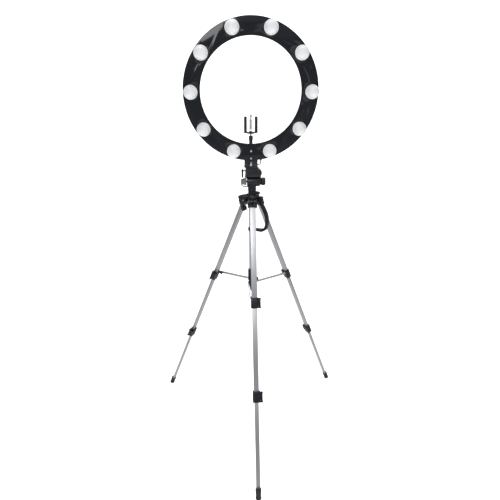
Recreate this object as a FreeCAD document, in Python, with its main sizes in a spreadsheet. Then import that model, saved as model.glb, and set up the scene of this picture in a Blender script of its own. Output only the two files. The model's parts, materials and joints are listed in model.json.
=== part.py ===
"""Ring light on a telescopic camera tripod.

Millimetres.  +Z is up, the lit face looks along -Y, and the origin lies on the
floor at the middle of the three feet's bounding box.  Every size comes from the
spreadsheet "dims"; each node is one labelled object, written to parts/LABEL.step.
"""
import math
import os
import re

import FreeCAD
import Part

import Sketcher
from FreeCAD import Placement, Rotation, Vector

DIMENSIONS = {
    # ring: a gloss front panel on a board, ten lamps on a circle
    "ring_outer": 600, "ring_inner": 450, "ring_centre": 1796, "ring_side": -6,
    "panel_front": -37, "board_front": -34, "panel_thick": 3, "board_thick": 9,
    "lamp_circle": 262, "lamp_count": 10, "lamp_first": 18, "lamp_bore": 19.2,
    "bulb_radius": 30, "dome_radius": 26, "bulb_length": 96, "bulb_wall": 1.6,
    "cap_radius": 13.2, "cap_depth": 24, "holder_radius": 19, "holder_depth": 34,
    "holder_flange": 22.5, "harness_circle": 236, "harness_radius": 3.2,
    # bracket between ring and tripod head
    "bracket_wide": 62, "bracket_thick": 3, "bracket_top": 1550, "bracket_deep": 50,
    "screw_low": 1504, "screw_high": 1537, "screw_radius": 2.5, "keyhole_centre": 1469,
    # phone clip
    "stem_radius": 8, "stem_behind": -9, "stem_top": 1586, "clip_wide": 62, "clip_low": 1613,
    "clip_high": 1690, "jaw_wide": 12.5, "clip_ball": 1597,
    # tripod head
    "tilt_height": 1389, "barrel_radius": 23, "barrel_left": -24, "barrel_right": 37,
    "platform_top": 1460, "platform_wide": 58, "platform_deep": 52, "cradle_low": 1414.5,
    "trunnion": 5, "pan_base_radius": 20, "pan_base_low": 1346, "knob_radius": 19,
    "handle_drop": 25, "camera_hole": 12, "running": 0.06, "gap": 0.4,
    # centre column and apex
    "column_y": 147, "column_radius": 12, "column_low": 900, "column_top": 1360,
    "apex_low": 1262, "apex_core": 22, "shoulder_low": 1313, "shoulder_high": 1327,
    "shoulder_radius": 37, "collar_radius": 19, "collar_top": 1345, "sleeve_radius": 15,
    "sleeve_wall": 1.5, "sleeve_low": 840, "cap_low": 805, "cap_high": 866,
    "hub_low": 867, "hub_high": 928, "hub_radius": 21, "pin_height": 1296, "pin_reach": 38.5,
    "pin_radius": 4, "crank_height": 1320, "crank_arm": 54, "crank_lean": 24, "crank_reach": 66.5,
    "crank_azimuth": -150, "lock_azimuth": -30, "lock_height": 1336, "lock_start": 13.6,
    # legs
    "foot_reach": 588, "upper_wide": 28, "upper_deep": 20, "mid_wide": 24, "mid_deep": 16,
    "lower_wide": 20, "lower_deep": 12, "tube_wall": 1.2, "lock_one": 484, "lock_two": 929,
    "lock_tall": 51, "lock_wide": 35, "lock_deep": 28, "tongue": 16, "fork_wide": 44,
    "brace_station": 460, "brace_inset": 24, "brace_side": 20.5, "brace_thick": 4,
    "brace_tall": 12, "hub_reach": 22,
    # power cord
    "cord_diameter": 4.5, "coil_radius": 24.75, "coil_section": 13.5,
}

doc = FreeCAD.newDocument("ring_light")
sheet = doc.addObject("Spreadsheet::Sheet", "dims")
for row, (alias, value) in enumerate(DIMENSIONS.items(), start=1):
    sheet.set(f"A{row}", alias.replace("_", " "))
    sheet.set(f"B{row}", str(value))
    sheet.setAlias(f"B{row}", alias)
doc.recompute()
NODES = []


def size(alias):
    """The value of one cell."""
    return float(sheet.get(alias))


def bind(thing, prop, text):
    """Binds a property to an expression in which plain words are the sheet's aliases."""
    words = "|".join(DIMENSIONS)
    thing.setExpression(prop, re.sub(rf"\b({words})\b", r"dims.\1", str(text)))


AIM = {"x": Rotation(Vector(0, 1, 0), 90), "y": Rotation(Vector(1, 0, 0), -90), "z": Rotation()}


def primitive(kind, name, at, turn, **sizes):
    """A Part primitive whose sizes and place are expressions."""
    thing = doc.addObject(f"Part::{kind}", name)
    thing.Placement = Placement(Vector(), turn)
    for prop, text in sizes.items():
        bind(thing, prop, text)
    for axis, text in zip("xyz", at):
        bind(thing, f"Placement.Base.{axis}", text)
    return thing


def block(name, low, high):
    """A box between two corners."""
    spans = [f"({b}) - ({a})" for a, b in zip(low, high)]
    return primitive("Box", name, low, Rotation(), Length=spans[0], Width=spans[1], Height=spans[2])


def rod(name, start, aim, radius, length, end_radius=None):
    """A cylinder, or a cone, from start along +x, +y or +z or along a given rotation."""
    turn = AIM[aim] if isinstance(aim, str) else aim
    if end_radius is None:
        return primitive("Cylinder", name, start, turn, Radius=radius, Height=length)
    return primitive("Cone", name, start, turn, Radius1=radius, Radius2=end_radius, Height=length)


def ball(name, centre, radius):
    """A sphere bound to the sheet."""
    return primitive("Sphere", name, centre, Rotation(), Radius=radius)


def fuse(name, *pieces):
    """The union of some shapes."""
    joined = doc.addObject("Part::MultiFuse", name)
    joined.Shapes = list(pieces)
    joined.Refine = True
    return joined


def cut(name, base, *tools):
    """A shape less some tools."""
    trimmed = doc.addObject("Part::Cut", name)
    trimmed.Base = base
    trimmed.Tool = tools[0] if len(tools) == 1 else fuse(f"{name}_tools", *tools)
    trimmed.Refine = True
    return trimmed


def rounded(name, base, radius, pick):
    """A fillet on the edges that pick(edge) chooses."""
    doc.recompute()
    smooth = doc.addObject("Part::Fillet", name)
    smooth.Base = base
    smooth.Edges = [(i, radius, radius) for i, e in enumerate(base.Shape.Edges, start=1) if pick(e)]
    return smooth


def upright(edge):
    """True for a straight edge along Z."""
    if len(edge.Vertexes) != 2:
        return False
    step = edge.Vertexes[1].Point.sub(edge.Vertexes[0].Point)
    return abs(step.z) > 1 and math.hypot(step.x, step.y) < 0.01


def tube(name, wide, deep, top, low, corner=3.0):
    """A rounded rectangular tube along Z, deep along X and wide along Y, open at both ends."""
    outer = block(f"{name}_outer", (f"-{deep} / 2", f"-{wide} / 2", low),
                  (f"{deep} / 2", f"{wide} / 2", top))
    wall = "tube_wall"
    inner = block(f"{name}_inner", (f"-{deep} / 2 + {wall}", f"-{wide} / 2 + {wall}", f"{low} - 1"),
                  (f"{deep} / 2 - {wall}", f"{wide} / 2 - {wall}", f"{top} + 1"))
    inner_corner = corner - size("tube_wall")
    return cut(name, rounded(f"{name}_skin", outer, corner, upright),
               rounded(f"{name}_core", inner, inner_corner, upright))


def copies(name, source, places):
    """Copies of one shape, each placed, as one compound group of separate solids."""
    doc.recompute()
    group = doc.addObject("Part::Compound", name)
    links = []
    for index, place in enumerate(places, start=1):
        link = doc.addObject("Part::Feature", f"{name}_{index}")
        link.Shape = source.Shape.copy()
        link.Placement = place.multiply(source.Placement)
        links.append(link)
    group.Links = links
    return group


def node(label, thing, place=None):
    """Marks an object as a node, with its label and its place."""
    if place is not None:
        thing.Placement = place
    thing.Label = label
    NODES.append(thing)
    return thing


# ------------------------------------------------------------------ places
COLUMN = Placement(Vector(0, size("column_y"), 0), Rotation())
RING = Placement(Vector(size("ring_side"), size("column_y"), 0), Rotation())
LEGS = {"front": -90, "left": 150, "right": 30}
PIN_DROP = size("pin_height")
LEG_TILT = math.degrees(math.atan2(size("foot_reach") - size("pin_reach"), PIN_DROP))
LEG_LENGTH = math.hypot(size("foot_reach") - size("pin_reach"), PIN_DROP)


def leg_place(azimuth):
    """The frame of a leg: origin at its hinge pin, -Z down the leg, +X outwards."""
    hinge = Vector(size("pin_reach"), 0, size("pin_height"))
    lean = Placement(hinge, Rotation(Vector(0, 1, 0), -LEG_TILT))
    return COLUMN.multiply(Placement(Vector(), Rotation(Vector(0, 0, 1), azimuth))).multiply(lean)


# ------------------------------------------------------------------ ring
def lamp_places():
    """One place for each lamp: local +Z points out of the panel, origin on its front face."""
    places = []
    for index in range(int(size("lamp_count"))):
        angle = math.radians(size("lamp_first") + index * 360 / size("lamp_count"))
        reach = size("lamp_circle")
        centre = Vector(reach * math.sin(angle), size("panel_front"),
                        size("ring_centre") + reach * math.cos(angle))
        places.append(RING.multiply(Placement(centre, Rotation(Vector(1, 0, 0), 90))))
    return places


def ring_plate(label, front, thick):
    """A flat ring with the lamp holes, padded from a sketch and patterned round its centre."""
    body = doc.addObject("PartDesign::Body", f"{label}_body")
    plane = next(p for p in body.Origin.OriginFeatures if p.Role == "XY_Plane")
    profile = body.newObject("Sketcher::SketchObject", f"{label}_profile")
    profile.AttachmentSupport = [(plane, "")]
    profile.MapMode = "FlatFace"
    for index, radius in enumerate(("ring_outer / 2", "ring_inner / 2")):
        profile.addGeometry(Part.Circle(Vector(), Vector(0, 0, 1), 100 - 10 * index), False)
        profile.addConstraint(Sketcher.Constraint("Coincident", index, 3, -1, 1))
        mark = profile.addConstraint(Sketcher.Constraint("Radius", index, 100 - 10 * index))
        bind(profile, f"Constraints[{mark}]", radius)
    pad = body.newObject("PartDesign::Pad", f"{label}_pad")
    pad.Profile = profile
    bind(pad, "Length", thick)
    doc.recompute()
    hole_sketch = body.newObject("Sketcher::SketchObject", f"{label}_hole")
    hole_sketch.AttachmentSupport = [(plane, "")]
    hole_sketch.MapMode = "FlatFace"
    angle = math.radians(size("lamp_first"))
    start = Vector(size("lamp_circle") * math.sin(angle), size("lamp_circle") * math.cos(angle), 0)
    hole_sketch.addGeometry(Part.Circle(start, Vector(0, 0, 1), 15), False)
    for kind, value in (("DistanceX", "sin(lamp_first)"), ("DistanceY", "cos(lamp_first)")):
        first = start.x if kind == "DistanceX" else start.y
        mark = hole_sketch.addConstraint(Sketcher.Constraint(kind, -1, 1, 0, 3, first))
        bind(hole_sketch, f"Constraints[{mark}]", f"lamp_circle * {value}")
    mark = hole_sketch.addConstraint(Sketcher.Constraint("Radius", 0, 15))
    bind(hole_sketch, f"Constraints[{mark}]", "lamp_bore")
    pocket = body.newObject("PartDesign::Pocket", f"{label}_pocket")
    pocket.Profile = hole_sketch
    pocket.Type = 1
    pocket.Midplane = True
    doc.recompute()
    pattern = body.newObject("PartDesign::PolarPattern", f"{label}_pattern")
    pattern.Originals = [pocket]
    pattern.Axis = (next(p for p in body.Origin.OriginFeatures if p.Role == "Z_Axis"), [""])
    pattern.Angle = 360
    bind(pattern, "Occurrences", "lamp_count")
    body.Tip = pattern
    place = Placement(Vector(0, size(front), size("ring_centre")), Rotation(Vector(1, 0, 0), -90))
    return node(label, body, RING.multiply(place))


def lamp_parts():
    """The lamps' three pieces, each drawn once on +Z and copied to every place."""
    places = lamp_places()
    dome_base = "bulb_length - dome_radius"
    outer = fuse("dome_outer", ball("dome_ball", (0, 0, dome_base), "dome_radius"),
                 rod("dome_skirt", (0, 0, "62"), "z", "dome_radius", f"{dome_base} - 62"))
    inner = fuse("dome_inner", ball("dome_ball_in", (0, 0, dome_base), "dome_radius - bulb_wall"),
                 rod("dome_skirt_in", (0, 0, "61"), "z", "dome_radius - bulb_wall", f"{dome_base} - 61"))
    half = block("dome_half", ("-40", "-40", "0"), ("40", "40", "62"))
    node("bulb_diffusers", copies("bulb_diffusers_group", cut("dome", outer, inner, half), places))
    shell = fuse("bulb_outer", rod("bulb_cap", (0, 0, "-cap_depth"), "z", "cap_radius", "cap_depth + 5"),
                 rod("bulb_cone", (0, 0, "4"), "z", "15", "46", "bulb_radius - 0.8"),
                 rod("bulb_rim", (0, 0, "50"), "z", "bulb_radius", "12"))
    hollow = fuse("bulb_hollow", rod("bulb_cone_in", (0, 0, "8"), "z", "13", "42", "bulb_radius - 3"),
                  rod("bulb_cap_in", (0, 0, "-cap_depth + 3"), "z", "cap_radius - 1.2", "cap_depth + 6"))
    plate = rod("bulb_plate", (0, 0, "58"), "z", "bulb_radius", "4")
    body = fuse("bulb_body", cut("bulb_shell", shell, hollow), plate)
    node("bulb_bodies", copies("bulb_bodies_group", body, places))
    cup = fuse("holder_outer",
               rod("holder_body", (0, 0, "-holder_depth"), "z", "holder_radius", "holder_depth"),
               rod("holder_lip", (0, 0, "0"), "z", "holder_flange", "3"))
    bore = rod("holder_bore", (0, 0, "-cap_depth - 0.5"), "z", "cap_radius + gap", "cap_depth + 5")
    node("lampholders", copies("lampholders_group", cut("holder", cup, bore), places))


def ring_back():
    """Harness, junction box with its gland, bracket and screws behind the board."""
    rear = "panel_front + panel_thick + board_thick"
    turn = Rotation(Vector(1, 0, 0), 90)
    loop = primitive("Torus", "harness_loop", (0, f"{rear} + harness_radius + 0.1", "ring_centre"), turn,
                     Radius1="harness_circle", Radius2="harness_radius")
    feeds = []
    for index in range(int(size("lamp_count"))):
        angle = size("lamp_first") + index * 360 / size("lamp_count")
        reach = size("harness_circle")
        start = Vector(reach * math.sin(math.radians(angle)), size("panel_front") + 16,
                       size("ring_centre") + reach * math.cos(math.radians(angle)))
        feed = rod(f"harness_feed_{index}", (start.x, start.y, start.z), Rotation(Vector(0, 1, 0), angle),
                   "2", "lamp_circle - holder_radius - harness_circle - 0.1")
        feeds.append(feed)
    node("wiring", fuse("wiring_loom", loop, *feeds), RING)
    box = block("box_outer", ("34", rear, "1510"), ("60", f"{rear} + 26", "1538"))
    gland = rod("box_gland", ("47", f"{rear} + 14", "1490"), "z", "3.6", "20.5", "5.5")
    bore = rod("box_bore", ("47", f"{rear} + 14", "1486"), "z", "cord_diameter / 2", "30")
    core = block("box_core", ("36", f"{rear} + 2", "1512"), ("58", f"{rear} + 24", "1536"))
    node("junction_box", cut("junction", fuse("box_skin", box, gland), core, bore), RING)
    half = "bracket_wide / 2"
    plate = block("bracket_plate", (f"-{half}", rear, "platform_top"),
                  (half, f"{rear} + bracket_thick", "bracket_top"))
    foot = block("bracket_foot", (f"-{half}", rear, "platform_top"),
                 (half, f"{rear} + bracket_deep", "platform_top + bracket_thick"))
    slot = fuse("keyhole", rod("keyhole_round", (0, "-40", "keyhole_centre + 3"), "y", "5", "30"),
                block("keyhole_neck", ("-2.2", "-40", "keyhole_centre"),
                      ("2.2", "-10", "keyhole_centre + 17")))
    holes = [rod(f"bracket_hole_{h}", (0, "-40", h), "y", "screw_radius", "30")
             for h in ("screw_low", "screw_high")]
    thread = rod("bracket_thread", ("-ring_side", "camera_hole", "platform_top - 5"), "z", "3.2", "20")
    bent = cut("bracket_bent", fuse("bracket_angle", plate, foot), slot, *holes, thread)
    corner = rounded("bracket_round", bent, 8.0, lambda e: e.BoundBox.ZMin > size("bracket_top") - 1
                     and e.BoundBox.YLength > 2 and e.BoundBox.XLength < 0.1)
    node("ring_bracket", corner, RING)
    screws = []
    for index, height in enumerate(("screw_low", "screw_high")):
        head = primitive("Sphere", f"screw_head_{index}", (0, "panel_front + 3.4", height), Rotation(),
                         Radius="5.4")
        trim = block(f"screw_trim_{index}", ("-9", "panel_front", f"{height} - 9"),
                     ("9", "panel_front + 12", f"{height} + 9"))
        shank = rod(f"screw_shank_{index}", (0, "panel_front - 0.5", height), "y", "screw_radius", "18")
        nut = rod(f"screw_nut_{index}", (0, f"{rear} + bracket_thick", height), "y", "4.5", "3")
        screws.append(fuse(f"screw_{index}", cut(f"screw_dome_{index}", head, trim), shank, nut))
    stud = rod("camera_stud", ("-ring_side", "camera_hole", "platform_top - 8"), "z", "3.1", "14")
    stud_nut = rod("camera_nut", ("-ring_side", "camera_hole", "platform_top + bracket_thick"), "z", "6",
                   "3")
    screws.append(fuse("camera_screw", stud, stud_nut))
    group = doc.addObject("Part::Compound", "screws_group")
    group.Links = screws
    node("ring_screws", group, RING)


def phone_holder():
    """Post, ball collar, the U-shaped frame with its ball stud, and the sprung hook."""
    here = ("0", "stem_behind")
    rise = "platform_top + bracket_thick"
    post = rod("stem_post", (*here, rise), "z", "stem_radius", f"stem_top - ({rise})")
    flare = rod("stem_flare", (*here, rise), "z", "9.5", "6")
    bore = rod("stem_bore", (*here, f"{rise} + 8"), "z", "stem_radius - 2", f"stem_top - ({rise}) - 20")
    node("phone_stem", cut("stem_hollow", fuse("stem", post, flare), bore), RING)
    collar = rod("collar_body", (*here, "stem_top + gap"), "z", "stem_radius + 1.5", "18")
    seat = ball("collar_seat", (*here, "clip_ball"), "6.06")
    mouth = rod("collar_mouth", (*here, "clip_ball"), "z", "4.2", "14", "9")
    node("phone_collar", cut("collar", collar, seat, mouth), RING)
    half, jaw = "clip_wide / 2", "jaw_wide"
    bar = "clip_low + 9"
    lens = primitive("Cylinder", "clip_lens", (0, "stem_behind - 7", "clip_low + 60"), AIM["y"],
                     Radius="60", Height="14")
    lens_trim = block("clip_lens_trim", (f"-{half}", "stem_behind - 8", "clip_low - 1"),
                      (half, "stem_behind + 8", bar))
    shelf = doc.addObject("Part::Common", "clip_shelf")
    shelf.Base, shelf.Tool = lens, lens_trim
    jaws = [block(f"clip_jaw_{side}", (low, "stem_behind - 7", "clip_low + 4"),
                  (high, "stem_behind + 7", "clip_high"))
            for side, low, high in (("left", f"-{half}", f"-{half} + {jaw}"),
                                    ("right", f"{half} - {jaw}", half))]
    spine = block("clip_spine", ("-7.5", "stem_behind + 2", f"{bar} - 2"),
                  ("7.5", "stem_behind + 6", "clip_high - 14"))
    track = block("clip_track", ("-3.2", "stem_behind + 1", f"{bar} + 4"),
                  ("3.2", "stem_behind + 7", "clip_high + 3"))
    stud = fuse("clip_stud", ball("clip_ball_part", (*here, "clip_ball"), "6"),
                rod("clip_neck", (*here, "clip_ball"), "z", "3", "clip_low - clip_ball + 2"))
    body = fuse("clip_body", shelf, *jaws, cut("clip_spine_slot", spine, track), stud)
    node("phone_clip", body, RING)
    rail = block("hook_rail", ("-2.8", "stem_behind + 2.2", f"{bar} + 10"),
                 ("2.8", "stem_behind + 5.8", "clip_high + 10"))
    arm = block("hook_arm", ("-2.8", "stem_behind - 16", "clip_high + 6"),
                ("2.8", "stem_behind + 5.8", "clip_high + 10"))
    tip = block("hook_tip", ("-4", "stem_behind - 18", "clip_high - 2"),
                ("4", "stem_behind - 14", "clip_high + 10"))
    node("clip_hook", fuse("hook", rail, arm, tip), RING)


def head():
    """Camera platform, tilt cradle, levers and knobs, and the pan base with its barrel."""
    half, deep = "platform_wide / 2", "platform_deep / 2"
    plate = block("platform_plate", (f"-{half}", f"-{deep}", "platform_top - 8"),
                  (half, deep, "platform_top"))
    thread = rod("platform_thread", (0, "camera_hole", "platform_top - 9"), "z", "3.1", "12")
    node("camera_platform", cut("platform", rounded("platform_round", plate, 4.0, upright), thread), COLUMN)
    top = "platform_top - 8"
    box = block("cradle_box", ("barrel_left - gap - 4.6", f"-{deep} + 2", "cradle_low"),
                (f"{half} + 8", f"{deep} - 2", top))
    ears = []
    for side, low, high in (("left", "barrel_left - gap - 4.6", "barrel_left - gap"),
                            ("right", "barrel_right + gap", "barrel_right + gap + 4.6")):
        disc = rod(f"ear_disc_{side}", (low, 0, "tilt_height"), "x", "17", f"{high} - ({low})")
        strap = block(f"ear_strap_{side}", (low, "-17", "tilt_height"), (high, "17", "cradle_low + 10"))
        ears.append(fuse(f"ear_{side}", disc, strap))
    bore = rod("ear_bore", ("-60", 0, "tilt_height"), "x", "trunnion + running", "130")
    socket = rod("handle_socket", (0, f"{deep} - 6", "1434"), handle_aim(), "9", "34")
    socket_bore = rod("handle_bore", (0, f"{deep} - 6", "1434"), handle_aim(), "5 + running", "60")
    pin = rod("lever_pin", (f"-{half} - 22", 0, "1441"), "x", "3", "24")
    barrel_room = rod("barrel_room", ("-28", 0, "tilt_height"), "x", "barrel_radius + 1", "64")
    cradle = cut("cradle_cut", fuse("cradle_sum", box, cheek_bulge(), socket, *ears), bore, socket_bore,
                 barrel_room)
    node("tilt_cradle", fuse("cradle", cradle, pin), COLUMN)
    bar = block("lever_bar", ("-50", "-7", "1409"), ("-42", "7", "1449"))
    hole = rod("lever_hole", ("-60", 0, "1441"), "x", "3 + running", "40")
    node("platform_lever", cut("lever", rounded("lever_round", bar, 3.0, upright), hole), COLUMN)
    base = rod("pan_base", (0, 0, "pan_base_low"), "z", "pan_base_radius", "tilt_height - pan_base_low - 8")
    barrel = rod("barrel", ("barrel_left", 0, "tilt_height"), "x", "barrel_radius",
                 "barrel_right - barrel_left")
    axle = rod("tilt_axle", ("-46", 0, "tilt_height"), "x", "trunnion", "104")
    seat = rod("column_seat", (0, 0, "pan_base_low - 1"), "z", "column_radius + running",
               "column_top - pan_base_low + 1.3")
    node("pan_yoke", cut("yoke", fuse("yoke_sum", base, barrel, axle), seat), COLUMN)
    knob_start = "barrel_right + gap + 5.2"
    knob = rod("knob_body", (knob_start, 0, "tilt_height"), "x", "knob_radius", "22")
    knob_bore = rod("knob_bore", ("barrel_right", 0, "tilt_height"), "x", "trunnion + running", "21.5")
    node("tilt_knob", cut("knob", knob, knob_bore), COLUMN)
    cap = rod("cap_cone", ("-54", 0, "tilt_height"), "x", "11", "24.4", "17.5")
    cap_bore = rod("cap_bore", ("-46", 0, "tilt_height"), "x", "trunnion", "20")
    node("tilt_cap", cut("cap", cap, cap_bore), COLUMN)
    start = (0, f"{deep} - 5", "1434 - 0.42")
    arm = fuse("handle_sum", rod("handle_rod", start, handle_aim(), "5", "90"), handle_grip())
    node("pan_handle", arm, COLUMN)


def handle_aim():
    """The pan handle points to the rear and down."""
    return Rotation(Vector(1, 0, 0), -90 - size("handle_drop"))


def handle_grip():
    """The pan handle's thicker grip, at the far end of its rod."""
    drop = math.radians(size("handle_drop"))
    reach = size("platform_deep") / 2 - 5 + 80 * math.cos(drop)
    return rod("handle_grip", (0, reach, 1433.6 - 80 * math.sin(drop)), handle_aim(), "11", "115", "13.5")


def cheek_bulge():
    """The faceted cheek on the cradle's right side."""
    low, high = size("cradle_low"), size("platform_top") - 8
    reach = size("platform_wide") / 2
    outline = [(reach, low), (reach + 11, low), (reach + 17, low + 16), (reach + 16, low + 27),
               (reach, high)]
    points = [Vector(x, -size("platform_deep") / 2 + 2, z) for x, z in outline]
    face = Part.Face(Part.makePolygon(points + points[:1]))
    cheek = doc.addObject("Part::Feature", "cradle_cheek")
    cheek.Shape = face.extrude(Vector(0, size("platform_deep") - 4, 0))
    return cheek


# ------------------------------------------------------------------ column and apex
def column_parts():
    """The lifting column, its fixed sleeve, the apex casting and what is fixed to it."""
    skin = rod("column_skin", (0, 0, "column_low"), "z", "column_radius", "column_top - column_low")
    core = rod("column_core", (0, 0, "column_low + 4"), "z", "column_radius - 2",
               "column_top - column_low - 12")
    node("centre_column", cut("column", skin, core), COLUMN)
    outer = rod("sleeve_skin", (0, 0, "sleeve_low"), "z", "sleeve_radius", "apex_low + 14 - sleeve_low")
    inner = rod("sleeve_core", (0, 0, "sleeve_low - 1"), "z", "sleeve_radius - sleeve_wall", "460")
    node("sleeve", cut("sleeve_cut", outer, inner), COLUMN)
    core = rod("apex_body", (0, 0, "apex_low"), "z", "apex_core", "shoulder_high - apex_low")
    brim = rod("apex_brim", (0, 0, "shoulder_low"), "z", "shoulder_radius", "6")
    cone = rod("apex_cone", (0, 0, "shoulder_low + 6"), "z", "shoulder_radius", "8", "28")
    neck = rod("apex_neck", (0, 0, "shoulder_high"), "z", "collar_radius", "collar_top - shoulder_high")
    tongues = []
    for name, azimuth in LEGS.items():
        lug = block(f"tongue_{name}", ("16", "-tongue / 2", "pin_height - 11"),
                    ("pin_reach", "tongue / 2", "shoulder_low + 2"))
        tip = rod(f"tongue_tip_{name}", ("pin_reach", "-tongue / 2", "pin_height"), "y", "11", "tongue")
        hole = rod(f"tongue_hole_{name}", ("pin_reach", "-tongue", "pin_height"), "y", "pin_radius",
                   "2 * tongue")
        whole = cut(f"tongue_cut_{name}", fuse(f"tongue_sum_{name}", lug, tip), hole)
        whole.Placement = Placement(Vector(), Rotation(Vector(0, 0, 1), azimuth))
        tongues.append(whole)
    crank_height, lock_height = size("crank_height"), size("lock_height")
    boss = radial_rod("crank_boss", size("crank_azimuth"), 15, crank_height, "12", "crank_reach - 16")
    well = radial_rod("crank_well", size("crank_azimuth"), 24, crank_height, "5 + running", "50")
    lock_boss = radial_rod("lock_boss", size("lock_azimuth"), 12, lock_height, "8", "14")
    lock_well = radial_rod("lock_well", size("lock_azimuth"), 13.5, lock_height, "3 + running", "14")
    handle_lug = block("handle_lug", ("10", "-8", "shoulder_low"), ("54", "8", "shoulder_low + 6"))
    handle_lug.Placement = Placement(Vector(), Rotation(Vector(0, 0, 1), size("lock_azimuth")))
    bore = rod("apex_bore", (0, 0, "apex_low - 1"), "z", "column_radius + running", "120")
    socket = rod("apex_socket", (0, 0, "apex_low - 1"), "z", "sleeve_radius", "15")
    casting = cut("apex_cut",
                  fuse("apex_sum", core, brim, cone, neck, boss, lock_boss, handle_lug, *tongues),
                  bore, socket, well, lock_well)
    node("apex", casting, COLUMN)
    pins = [rod(f"pin_{name}", ("pin_reach", "-fork_wide / 2 - 1", "pin_height"), "y", "pin_radius",
                "fork_wide + 2")
            for name in LEGS]
    for pin, azimuth in zip(pins, LEGS.values()):
        turned = Placement(Vector(), Rotation(Vector(0, 0, 1), azimuth))
        start = Vector(size("pin_reach"), -size("fork_wide") / 2 - 1, size("pin_height"))
        clear_place(pin)
        pin.Placement = turned.multiply(Placement(start, AIM["y"]))
    group = doc.addObject("Part::Compound", "pins_group")
    group.Links = pins
    node("hinge_pins", group, COLUMN)
    shaft = rod("lock_shaft", (0, 0, 0), "z", "3", "16")
    lock = fuse("lock_sum", shaft, rod("lock_knob", (0, 0, "13"), "z", "8", "14", "7"))
    lock_place = azimuth_place(size("lock_azimuth"), size("lock_start"), lock_height)
    node("column_lock", lock, COLUMN.multiply(lock_place))
    end = rod("end_body", (0, 0, "cap_low"), "z", "9", "cap_high - cap_low - 14", "18")
    rim = rod("end_rim", (0, 0, "cap_high - 14"), "z", "18", "14")
    end_bore = rod("end_bore", (0, 0, "sleeve_low"), "z", "sleeve_radius", "60")
    node("end_cap", cut("end", fuse("end_sum", end, rim), end_bore), COLUMN)


def clear_place(thing):
    """Lets a primitive be placed directly instead of by the sheet."""
    for axis in "xyz":
        thing.setExpression(f"Placement.Base.{axis}", None)


def azimuth_place(azimuth, reach, height):
    """A frame whose +Z points outwards at an azimuth, starting at a reach and a height."""
    turn = Placement(Vector(), Rotation(Vector(0, 0, 1), azimuth))
    return turn.multiply(Placement(Vector(reach, 0, height), AIM["x"]))


def radial_rod(label, azimuth, reach, height, radius, length):
    """A rod that points outwards from the column's axis at an azimuth."""
    made = rod(label, (0, 0, 0), "z", radius, length)
    clear_place(made)
    made.Placement = azimuth_place(azimuth, reach, height)
    return made


def crank():
    """Shaft, leaning arm with its eye, and the knob folded inwards."""
    shaft = rod("crank_shaft", (0, 0, "-38"), "z", "5", "39")
    eye = rod("crank_eye", (0, 0, "0"), "z", "10", "7")
    loop = rod("crank_loop", ("15", 0, "0"), "z", "11.5", "7")
    arm = block("crank_bar", ("15", "-5", "0"), ("crank_arm", "5", "7"))
    end = rod("crank_end", ("crank_arm", 0, "0"), "z", "8", "7")
    knob = rod("crank_knob", ("crank_arm", 0, "-16"), "z", "11", "16.2", "14.5")
    hole = rod("crank_hole", ("16.5", 0, "-1"), "z", "5.5", "9")
    place = COLUMN.multiply(azimuth_place(size("crank_azimuth"), size("crank_reach"), size("crank_height")))
    lean = Placement(Vector(), Rotation(Vector(0, 0, 1), size("crank_lean")))
    node("crank", cut("crank_cut", fuse("crank_sum", shaft, eye, loop, arm, end, knob), hole),
         place.multiply(lean))


def arc_path(points):
    """Straight runs joined by tangent arcs, each as large as its two runs allow, and the radii."""
    spots = [Vector(*p) for p in points]
    edges, last, radii = [], spots[0], []
    for before, here, after in zip(spots, spots[1:], spots[2:]):
        come, leave = (here - before).normalize(), (after - here).normalize()
        half = come.getAngle(leave) / 2
        back = 0.45 * min((here - before).Length, (after - here).Length)
        radii.append(back / math.tan(half))
        start, end = here - come * back, here + leave * back
        middle = here + (leave - come).normalize() * (radii[-1] / math.cos(half) - radii[-1])
        edges.append(Part.LineSegment(last, start).toShape())
        edges.append(Part.Arc(start, middle, end).toShape())
        last = end
    edges.append(Part.LineSegment(last, spots[-1]).toShape())
    return Part.Wire(edges), radii


def carry_handle():
    """The bowed handle between the apex and a clamp on the sleeve."""
    line = [(47, 0, 1311), (49, 0, 1286), (67, 0, 1258), (81, 0, 1226), (84, 0, 1190), (77, 0, 1161),
            (57, 0, 1149), (32, 0, 1149)]
    path, radii = arc_path(line)
    bar = doc.addObject("Part::Feature", "handle_bar")
    across, tall = Vector(0, 9, 0), Vector(7, 0, 0)
    corners = [Vector(*line[0]) + across * a + tall * b for a,
               b in ((1, 1), (-1, 1), (-1, -1), (1, -1), (1, 1))]
    bowed = path.makePipeShell([Part.makePolygon(corners)], True, False)
    print("handle radii", [round(r) for r in radii])
    strap = Part.makeBox(30, 14, 12, Vector(15.5, -7, 1143))
    hole = Part.makeCylinder(size("sleeve_radius"), 18, Vector(0, 0, 1140))
    clamp = Part.makeCylinder(20, 16, Vector(0, 0, 1141)).cut(hole)
    strap = strap.cut(hole)
    head_block = Part.makeBox(18, 16, 26.2, Vector(38, -8, 1286.8))
    bar.Shape = bowed.fuse([clamp, strap, head_block]).removeSplitter()
    node("carry_handle", bar,
         COLUMN.multiply(Placement(Vector(), Rotation(Vector(0, 0, 1), size("lock_azimuth")))))


# ------------------------------------------------------------------ spreader
def leg_point(station, inset):
    """Reach and height of a point on a leg, a station down from the pin and inset from its axis."""
    lean = math.radians(LEG_TILT)
    reach = size("pin_reach") + station * math.sin(lean) - inset * math.cos(lean)
    height = size("pin_height") - station * math.cos(lean) - inset * math.sin(lean)
    return reach, height


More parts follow.
